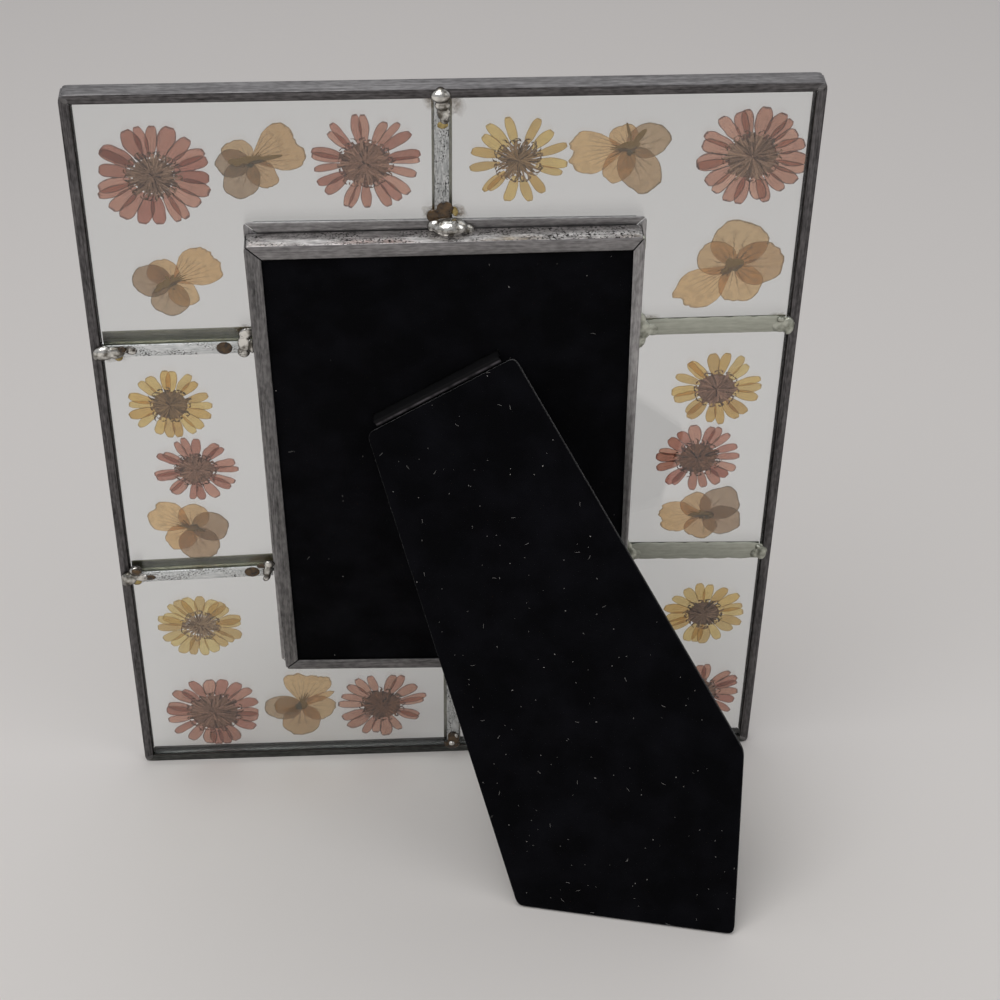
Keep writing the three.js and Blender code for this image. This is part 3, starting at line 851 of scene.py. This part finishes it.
def scatter_lint(host, name, body, count, seed):
    """Threads and dust lying on a velvet piece's back."""
    draw = random.Random(seed)
    deselect()
    bpy.ops.mesh.primitive_cylinder_add(vertices=5, radius=0.5, depth=1)
    thread = named("thread")
    pick(thread, "edges", upright(thread.data.vertices))
    bpy.ops.mesh.subdivide(number_cuts=3)
    done()
    mesh = host.data
    mesh.calc_loop_triangles()
    top = [triangle for triangle in mesh.loop_triangles if triangle.normal.dot(BACK) > 0.5]
    pieces = []
    for triangle in draw.choices(top, [triangle.area for triangle in top], k=count):
        corners = [mesh.vertices[i].co for i in triangle.vertices]
        shares = [draw.expovariate(1) for _ in corners]
        at = sum((share * corner for share, corner in zip(shares, corners)), Vector()) / sum(shares)
        up = triangle.normal.copy()
        aim = up.orthogonal()
        aim.rotate(Matrix.Rotation(draw.uniform(0, 2 * math.pi), 3, up))
        side = up.cross(aim)
        length = draw.choice((0.12, 0.14, 0.16, 0.2, 0.24, 0.3, 0.9))
        thick = 0.04 if length > 0.5 else draw.choice((0.05, 0.06, 0.08, 0.14))
        curl = draw.uniform(-0.5, 0.5)

        def lay(co, at=at, aim=aim, side=side, up=up, length=length, thick=thick, curl=curl):
            bend = curl * length * (0.25 - co.z**2)
            flat = aim * co.z * length + side * (co.x * thick + bend) + up * (co.y * thick + 0.08)
            return at + flat * MM

        pieces.append(copy_of(thread, lay))
    bpy.data.objects.remove(thread)
    lint = join(name, pieces)
    lint.data.materials.clear()
    lint.data.materials.append(LINT)
    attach(lint, body)


# ---- Flowers ----

ROOM_LOW = on_bench("front_glass_top_left")[1].z
ROOM_HIGH = on_bench("back_glass_top_left")[0].z
ROOM_MIDDLE = (ROOM_LOW + ROOM_HIGH) / 2
PETAL_THICKNESS = 0.07


def grid_petal(name, widths, across=6):
    """A flat petal a unit long and a unit wide, its rows drawn in to these widths, given a thickness."""
    rows = len(widths)
    deselect()
    bpy.ops.mesh.primitive_grid_add(
        x_subdivisions=across, y_subdivisions=rows - 1, size=1, location=(0, 0.5, 0)
    )
    petal = named(name)
    settle(petal)
    for row, width in enumerate(widths):
        y = row / (rows - 1)
        pick(petal, "vertices", lambda point, y=y: abs(point.co.y - y) < 0.1 / rows)
        bpy.ops.transform.resize(value=(width, 1, 1), center_override=(0, y, 0))
        done()
    modify(petal, "SOLIDIFY", thickness=PETAL_THICKNESS, offset=0)
    return petal


def strap_petal():
    """A daisy's petal, from its narrow root to its rounded tip."""
    widths = (0.4, 0.53, 0.66, 0.78, 0.88, 0.95, 0.99, 1.0, 1.0, 0.97, 0.9, 0.76, 0.46)
    return grid_petal("strap_petal", widths)


def floret_pattern():
    """A tiny tube that widens to an open mouth, a unit long and a unit wide."""
    deselect()
    bpy.ops.mesh.primitive_cone_add(vertices=6, radius1=0.24, radius2=0.5, depth=1, location=(0, 0, 0.5))
    floret = named("floret")
    settle(floret)
    pick(floret, "edges", upright(floret.data.vertices))
    bpy.ops.mesh.subdivide(number_cuts=4)
    done()
    pick(floret, "polygons", lambda face: face.normal.z > 0.9)
    bpy.ops.mesh.inset(thickness=0.2)
    bpy.ops.transform.translate(value=(0, 0, -0.25))
    done()
    return floret


def receptacle():
    """The low cushion that a daisy's florets stand on, a unit across its radius."""
    deselect()
    bpy.ops.mesh.primitive_uv_sphere_add(segments=28, ring_count=10, radius=1)
    return named("receptacle")


def turned(x, y, angle):
    return x * math.cos(angle) - y * math.sin(angle), x * math.sin(angle) + y * math.cos(angle)


def lay_petal(pattern, at, angle, start, length, width, height, draw, hue, tone):
    """A petal from start outwards, a little bowed and crinkled, lying at a height between the sheets."""
    bow = draw.uniform(-0.1, 0.1) * length
    crinkle = draw.uniform(0, 100)
    peak = draw.uniform(-0.12, 0.12)

    def shape(co):
        wave = noise.noise(Vector((co.x * 2.2, co.y * 2.2, crinkle)))
        edge = 1 + 0.2 * noise.noise(Vector((co.y * 2.6, crinkle, 0))) * abs(2 * co.x)
        out = start + co.y * length * (1 + 0.015 * wave)
        aside = co.x * width * edge + bow * co.y**2
        out -= 0.05 * length * max(0, co.y - 0.7) * abs(2 * co.x - peak) ** 2
        x, y = turned(out, aside, angle)
        return Vector((at.x + x, at.y + y, height + co.z + 0.05 * wave))

    return copy_of(pattern, shape, hue=hue, tone=tone)


# Each daisy: petals, petal width by reach, disc radius by reach, floret length by disc, florets, their
# width, hooked florets at the disc's rim, disc finish, and how its petals' hue spreads.
DAISIES = {
    "daisy_pink_top_left_corner": (21, 0.26, 0.46, 0.42, 240, 0.62, 30, "grey brown", (0.0, 0.7)),
    "daisy_pink_top_left_inner": (21, 0.19, 0.49, 0.36, 190, 0.72, 26, "mauve brown", (0.2, 0.8)),
    "daisy_yellow_top_right_inner": (15, 0.22, 0.46, 0.6, 190, 0.5, 38, "olive brown", (0.4, 0.8)),
    "daisy_pink_top_right_corner": (22, 0.27, 0.50, 0.72, 200, 0.75, 22, "grey brown", (0.5, 1.0)),
    "daisy_yellow_left_middle": (18, 0.26, 0.46, 0.66, 100, 0.75, 26, "olive brown", (0.3, 1.0)),
    "daisy_pink_left_middle": (18, 0.24, 0.47, 0.32, 120, 0.75, 34, "mauve brown", (0.2, 0.7)),
    "daisy_yellow_right_middle": (18, 0.27, 0.47, 0.72, 100, 0.75, 22, "mauve brown", (0.2, 0.8)),
    "daisy_pink_right_middle": (18, 0.25, 0.49, 0.34, 120, 0.8, 28, "dark brown", (0.1, 0.8)),
    "daisy_yellow_left_lower": (21, 0.29, 0.44, 0.4, 170, 0.55, 26, "pale brown", (0.0, 0.3)),
    "daisy_pink_bottom_left_corner": (20, 0.26, 0.55, 0.46, 150, 0.85, 34, "mauve brown", (0.1, 0.8)),
    "daisy_pink_bottom_left_inner": (18, 0.26, 0.46, 0.34, 110, 0.8, 28, "dark brown", (0.6, 1.0)),
    "daisy_yellow_right_lower": (18, 0.28, 0.44, 0.42, 90, 0.7, 26, "grey brown", (0.2, 0.9)),
    "daisy_pink_bottom_right_corner": (20, 0.25, 0.47, 0.42, 110, 0.8, 26, "mauve brown", (0.1, 0.9)),
    "daisy_pink_bottom_right_inner": (18, 0.25, 0.46, 0.38, 110, 0.8, 26, "dark brown", (0.5, 1.0)),
}
GOLDEN_ANGLE = math.pi * (3 - math.sqrt(5))
HOOK_WIDTH = 0.85
PETAL_ROOT = 0.8  # where a daisy's petals start, by the radius of its disc


def lay_floret(pattern, at, angle, lean, out, length, width, height, curl, tone):
    """A floret from out along lean, flattened, its tip curling to one side."""

    def press(co):
        turn = curl * co.z
        along = math.sin(turn) / curl if abs(curl) > 0.01 else co.z
        aside = (1 - math.cos(turn)) / curl if abs(curl) > 0.01 else 0
        x, y = turned(out, 0, angle)
        dx, dy = turned(along * length, aside * length + co.x * width, lean)
        return Vector((at.x + x + dx, at.y + y + dy, height + co.y * 0.3))

    return copy_of(pattern, press, hue=0, tone=tone)


def daisy_disc(floret, cushion, at, radius, tube, count, width, hooks, draw):
    """The pressed florets of a daisy's disc, from the middle out, and the hooked ones round its rim."""

    cushion_size = radius * min(0.88, 1.6 * width - 0.25)  # narrow florets stand on a smaller one

    def flatten(co):
        return Vector((at.x + co.x * cushion_size, at.y + co.y * cushion_size, ROOM_MIDDLE + co.z * 0.05))

    pieces = [copy_of(cushion, flatten, hue=0, tone=0.5)]
    for i in range(count):
        spread = ((i + 0.5) / count) ** 0.4
        angle = i * GOLDEN_ANGLE + draw.uniform(-0.1, 0.1)
        lean = angle + draw.uniform(-0.2, 0.2)
        length = radius * tube * (0.4 + 0.6 * spread) * draw.uniform(0.85, 1.15)
        out = max(0, radius * spread * 1.04 - length)
        wide = width * draw.uniform(0.75, 1.1)
        height = ROOM_MIDDLE + draw.choice((-1, 1)) * draw.uniform(0.02, 0.2)
        tone = draw.uniform(0.15, 0.85) + 0.8 * max(0, 0.5 - spread)
        curl = draw.uniform(-0.5, 0.5)
        pieces.append(lay_floret(floret, at, angle, lean, out, length, wide, height, curl, tone))
    for i in range(hooks):
        angle = 2 * math.pi * (i + draw.uniform(-0.35, 0.35)) / hooks
        lean = angle + draw.uniform(-0.5, 0.5)
        length = draw.uniform(1.1, 1.9)
        out = radius * draw.uniform(0.92, 1.02)
        curl = draw.choice((-1, 1)) * draw.uniform(1.4, 3.2)
        tone = draw.uniform(0.5, 0.9)
        height = ROOM_MIDDLE + 0.1
        pieces.append(lay_floret(floret, at, angle, lean, out, length, HOOK_WIDTH, height, curl, tone))
    return pieces


def make_daisies():
    petals_of = {
        "pink": dried_petal(
            "pressed pink daisy petal", "CE8070", "F3B8A0", "9A5E52", "5C343A", 4, 0.5, 0.16
        ),
        "yellow": dried_petal(
            "pressed yellow daisy petal", "FFE0A0", "FFD07E", "C89050", "B48848", 4, 0.4, 0.14
        ),
    }
    discs = {
        "grey brown": dried_floret("pressed florets, grey brown", "40281C", "BC967C"),
        "mauve brown": dried_floret("pressed florets, mauve brown", "44281C", "C0927A"),
        "olive brown": dried_floret("pressed florets, olive brown", "48321C", "B89268"),
        "pale brown": dried_floret("pressed florets, pale brown", "5C402C", "D8B690"),
        "dark brown": dried_floret("pressed florets, dark brown", "2E160D", "B27C5E"),
    }
    strap = strap_petal()
    floret = floret_pattern()
    cushion = receptacle()
    for node, (petals, petal_width, disc, tube, florets, width, hooks, brown, hues) in DAISIES.items():
        draw = random.Random(node)
        low, high = on_bench(node)
        at = (low + high) / 2
        reach = (high.x - low.x + high.y - low.y) / 4
        start = disc * reach * PETAL_ROOT
        colour = "pink" if "pink" in node else "yellow"
        for pattern, finish in ((strap, petals_of[colour]), (floret, discs[brown]), (cushion, discs[brown])):
            pattern.data.materials.clear()
            pattern.data.materials.append(finish)
        pieces = []
        for i in range(petals):
            angle = 2 * math.pi * (i + draw.uniform(-0.34, 0.34)) / petals
            length = reach * draw.triangular(0.88, 1.03, 1.02) - start
            wide = reach * petal_width * draw.uniform(0.78, 1.15)
            height = ROOM_MIDDLE + 0.4 * ((i * 2) % 5 / 5 - 0.4)
            hue = draw.uniform(*hues)
            tone = draw.uniform(0, 0.6) ** 1.5
            pieces.append(lay_petal(strap, at, angle, start, length, wide, height, draw, hue, tone))
        pieces += daisy_disc(floret, cushion, at, disc * reach, tube, florets, width, hooks, draw)
        flower = join(f"{node}_pressed", pieces)
        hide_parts(node)
        finish_piece(flower, smooth=60)
    for pattern in (strap, floret, cushion):
        bpy.data.objects.remove(pattern)


# Each viola: its heart, its petals as (direction, reach, width, how fan-shaped, how mauve), and the
# dark dried parts at its heart as drops.
VIOLAS = {
    "viola_top_left": (
        (-50.5, 220.5),
        [(24, 14.8, 15, 0.9, 0.2), (135, 8, 8, 0.1, 0.4), (185, 9, 8.5, 0, 1), (245, 11.5, 10, 0, 0.95),
         (310, 9.5, 7.5, 0.2, 0.4)],
        [(0, 0.4, 0, 3.4, 1.1, 0.2, 5), (-3.4, -0.2, 0, 1.8, 1.0, 0.2, -15),
         (4.2, 1.0, 0, 3.6, 0.6, 0.15, 10)],
    ),
    "viola_left_upper": (
        (-73.5, 183.5),
        [(32, 15, 12.5, 0.9, 0), (120, 8, 9, 0, 0.1), (172, 10.5, 10.5, 0, 0.9), (262, 10.8, 10.5, 0, 0.85),
         (310, 9, 8, 0, 0.2)],
        [(-1.2, -0.4, 0, 2.6, 1.0, 0.2, 18), (-3.6, -1.9, 0, 1.6, 0.6, 0.2, 40)],
    ),
    "viola_top_right": (
        (47, 222.5),
        [(188, 15.6, 13, 0.9, 0), (105, 7, 8, 0, 0.1), (22, 11.5, 10.5, 0, 0.7), (298, 14.6, 11, 0, 0.6),
         (248, 10.5, 8, 0, 0.1)],
        [(0.4, 0.6, 0, 2.4, 1.2, 0.2, 15), (3.0, 3.4, 0, 2.2, 0.7, 0.2, 55),
         (0.2, 4.8, 0, 0.4, 2.4, 0.15, 15)],
    ),
    "viola_right_upper": (
        (77.7, 185),
        [(82, 14.4, 15.5, 0, 0.35), (5, 13.7, 14, 0, 0.35), (152, 11, 11, 0, 0.3), (219, 18.6, 12.5, 0.85, 0),
         (292, 12.2, 12.5, 0, 0.15)],
        [(0.2, 0.4, 0, 2.2, 1.5, 0.25, 20), (-1.8, -1.4, 0, 1.4, 0.9, 0.2, 40),
         (-1.2, 1.2, 0, 0.9, 1.2, 0.2, 0)],
    ),
    "viola_left_middle": (
        (-74.8, 96.5),
        [(148, 14, 12, 0.8, 0), (225, 10, 9, 0.2, 0), (285, 12.6, 12, 0, 0.75), (8, 10.8, 11, 0, 0.9),
         (80, 9.6, 9, 0, 0.15)],
        [(0.2, 0.2, 0, 1.5, 1.0, 0.25, 10), (2.0, -0.6, 0, 1.6, 0.5, 0.15, -25)],
    ),
    "viola_right_middle": (
        (76, 96.4),
        [(185, 14, 12, 0.8, 0.15), (125, 9, 9, 0, 0.3), (42, 12.4, 12.5, 0, 1), (338, 12, 11, 0, 0.95),
         (262, 9, 10, 0, 0.4)],
        [(0.0, 0.2, 0, 2.2, 0.8, 0.2, 5), (-2.6, 0.0, 0, 1.8, 0.5, 0.15, 0),
         (1.8, -0.8, 0, 1.2, 0.7, 0.2, 30)],
    ),
    "viola_bottom_left": (
        (-46.2, 21.5),
        [(78, 14.2, 15, 1, 0.1), (28, 11.5, 3, 0, 0.1), (345, 11, 10.5, 0, 0.3), (268, 13.4, 12, 0, 0.4),
         (188, 11.8, 10.6, 0, 0.8), (182, 8.5, 8, 0, 0.4)],
        [(0.2, 0.0, 0, 1.3, 1.6, 0.3, 0), (-0.8, -1.0, 0, 1.2, 0.7, 0.2, 30)],
    ),
    "viola_bottom_right": (
        (49, 21),
        [(102, 14, 13, 0.8, 0), (45, 10, 9, 0, 0.2), (5, 9.5, 9, 0, 0.3), (272, 12, 11.5, 0, 0.4),
         (185, 10.5, 10, 0, 0.6)],
        [(0, 0, 0, 1.4, 1.2, 0.25, 0)],
    ),
}
HEART_SIZE = 1.3  # how much longer and wider the hearts are than in the table


def viola_petal():
    """A square of petal, to be fanned out from its base."""
    return grid_petal("viola_petal", [1] * 11, across=28)


def fan_petal(pattern, at, direction, reach, width, fan, height, draw, mauve):
    """A viola petal that opens from a narrow base, round if fan is 0 and a notched fan if it is 1."""
    angle = math.radians(direction)
    opening = math.radians(84 - 34 * fan)
    ripple = draw.uniform(0, 100)

    def outline(share):
        round_edge = math.cos(share * opening)
        fan_edge = max(0, 1 - abs(share) ** 6) ** 0.4 * (1 - 0.09 * math.exp(-((share / 0.2) ** 2)))
        ruffle = 0.09 * noise.noise(Vector((share * 3.5, ripple, 0)))
        frill = 0.04 * noise.noise(Vector((share * 12, ripple, 5)))
        return ((1 - fan) * round_edge + fan * fan_edge) * (1 + ruffle + frill)

    widest = 2 * max(outline(i / 20) * math.sin(i / 20 * opening) for i in range(21))
    squeeze = width / reach / widest

    def shape(co):
        share = 2 * co.x
        length = co.y * outline(share) * reach
        turn = share * opening
        x, y = turned(length * math.cos(turn), length * math.sin(turn) * squeeze, angle)
        wave = noise.noise(Vector((share * 2, co.y * 2, ripple)))
        return Vector((at[0] + x, at[1] + y, height + co.z + 0.05 * wave))

    return copy_of(pattern, shape, hue=mauve, tone=draw.uniform(0, 0.3))


def heart_streaks(at, petals, draw):
    """Dark streaks from the heart into the fan-shaped petal, and dried scraps round the heart, as drops."""
    fan_direction = max(petals, key=lambda petal: petal[3])[0]
    drops = []
    for i in range(5):
        turn = fan_direction + 11 * (i - 2) + draw.uniform(-4, 4)
        long = draw.uniform(1.6, 3.0)
        x, y = turned(long + 0.6, 0, math.radians(turn))
        drops.append((at[0] + x, at[1] + y, ROOM_MIDDLE, long, 0.22, 0.13, turn))
    for i in range(7):
        turn = draw.uniform(0, 360)
        x, y = turned(draw.uniform(0.8, 2.2), 0, math.radians(turn))
        size = draw.uniform(0.35, 0.9)
        drops.append((at[0] + x, at[1] + y, ROOM_MIDDLE, size, 0.6 * size, 0.15, draw.uniform(0, 180)))
    return drops


def make_violas():
    tissue = dried_petal("pressed viola petal", "FFD09A", "CCAA90", "84542C", "6A4C38", 9, 0.85, 0.09)
    heart_finish = dried_floret("pressed viola heart", "3E2C18", "82663E")
    pattern = viola_petal()
    pattern.data.materials.append(tissue)
    for node, (at, petals, heart) in VIOLAS.items():
        draw = random.Random(node)
        pieces = []
        for i, (direction, reach, width, fan, mauve) in enumerate(petals):
            height = ROOM_MIDDLE + 0.12 * (i - 2)
            pieces.append(fan_petal(pattern, at, direction, reach, width, fan, height, draw, mauve))
        drops = [
            (at[0] + x, at[1] + y, ROOM_MIDDLE + z, HEART_SIZE * long, HEART_SIZE * wide, deep, turn)
            for x, y, z, long, wide, deep, turn in heart
        ]
        drops += heart_streaks(at, petals, draw)
        middle = melt(f"{node}_heart", drops, voxel=0.14, smooth=2)
        middle.data.materials.append(heart_finish)
        flower = join(f"{node}_pressed", [*pieces, middle])
        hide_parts(node)
        finish_piece(flower, smooth=60)
    bpy.data.objects.remove(pattern)


# ---- Floor, light and camera ----


def set_stage():
    deselect()
    bpy.ops.mesh.primitive_plane_add(size=8, location=(0, 1.5, 0))
    floor = named("floor")
    paper, tree = new_material("pale paper backdrop")
    shader = add(
        tree,
        "ShaderNodeBsdfPrincipled",
        inputs={"Base Color": linear("E6E2DE"), "Roughness": 0.9, "Specular IOR Level": 0.2},
    )
    add(tree, "ShaderNodeOutputMaterial", None, {"Surface": shader})
    floor.data.materials.append(paper)

    world = bpy.data.worlds.new("soft room")
    bpy.context.scene.world = world
    world.use_nodes = True
    world.node_tree.nodes["Background"].inputs["Color"].default_value = linear("F1F1F4")
    world.node_tree.nodes["Background"].inputs["Strength"].default_value = 0.46

    lamps = {
        "key soft box": ((-0.4, -0.65, 1.15), 0.9, 6.4),
        "fill soft box": ((0.9, -0.9, 0.9), 0.9, 2.6),
        "back soft box": ((0.0, 0.9, 1.3), 1.0, 1.6),
    }
    for name, (place, size, watts) in lamps.items():
        light = bpy.data.lights.new(name, "AREA")
        light.size = size
        light.energy = watts
        lamp = bpy.data.objects.new(name, light)
        lamp.location = place
        lamp.rotation_euler = (Vector((0, 0, 0.1)) - Vector(place)).to_track_quat("-Z", "Y").to_euler()
        bpy.context.collection.objects.link(lamp)


# The camera's place in metres, its turns in degrees and its lens in millimetres.
CAMERA_PLACE = (-0.01735, -0.54476, 0.40362)
CAMERA_YAW = 3.29
CAMERA_DOWN = 27.84
LENS = 79.4
SENSOR = 36


def set_camera():
    data = bpy.data.cameras.new("camera")
    data.lens = LENS
    data.sensor_width = SENSOR
    camera = bpy.data.objects.new("camera", data)
    camera.location = CAMERA_PLACE
    camera.rotation_euler = Euler((math.radians(90 - CAMERA_DOWN), 0, math.radians(-CAMERA_YAW)))
    bpy.context.collection.objects.link(camera)
    bpy.context.scene.camera = camera


set_camera()
set_stage()
bpy.context.scene.view_settings.view_transform = "Standard"
bpy.context.scene.cycles.transparent_max_bounces = 40

set_glass()
make_cames()
make_bars()
make_solder()
make_films()
make_corner_solder()
velvet_board, velvet_leg = make_velvet_pieces()
make_hinge()
scatter_lint(velvet_board, "lint_on_board", "frame", count=36, seed=11)
scatter_lint(velvet_leg, "lint_on_leg", "leg", count=190, seed=12)
make_daisies()
make_violas()
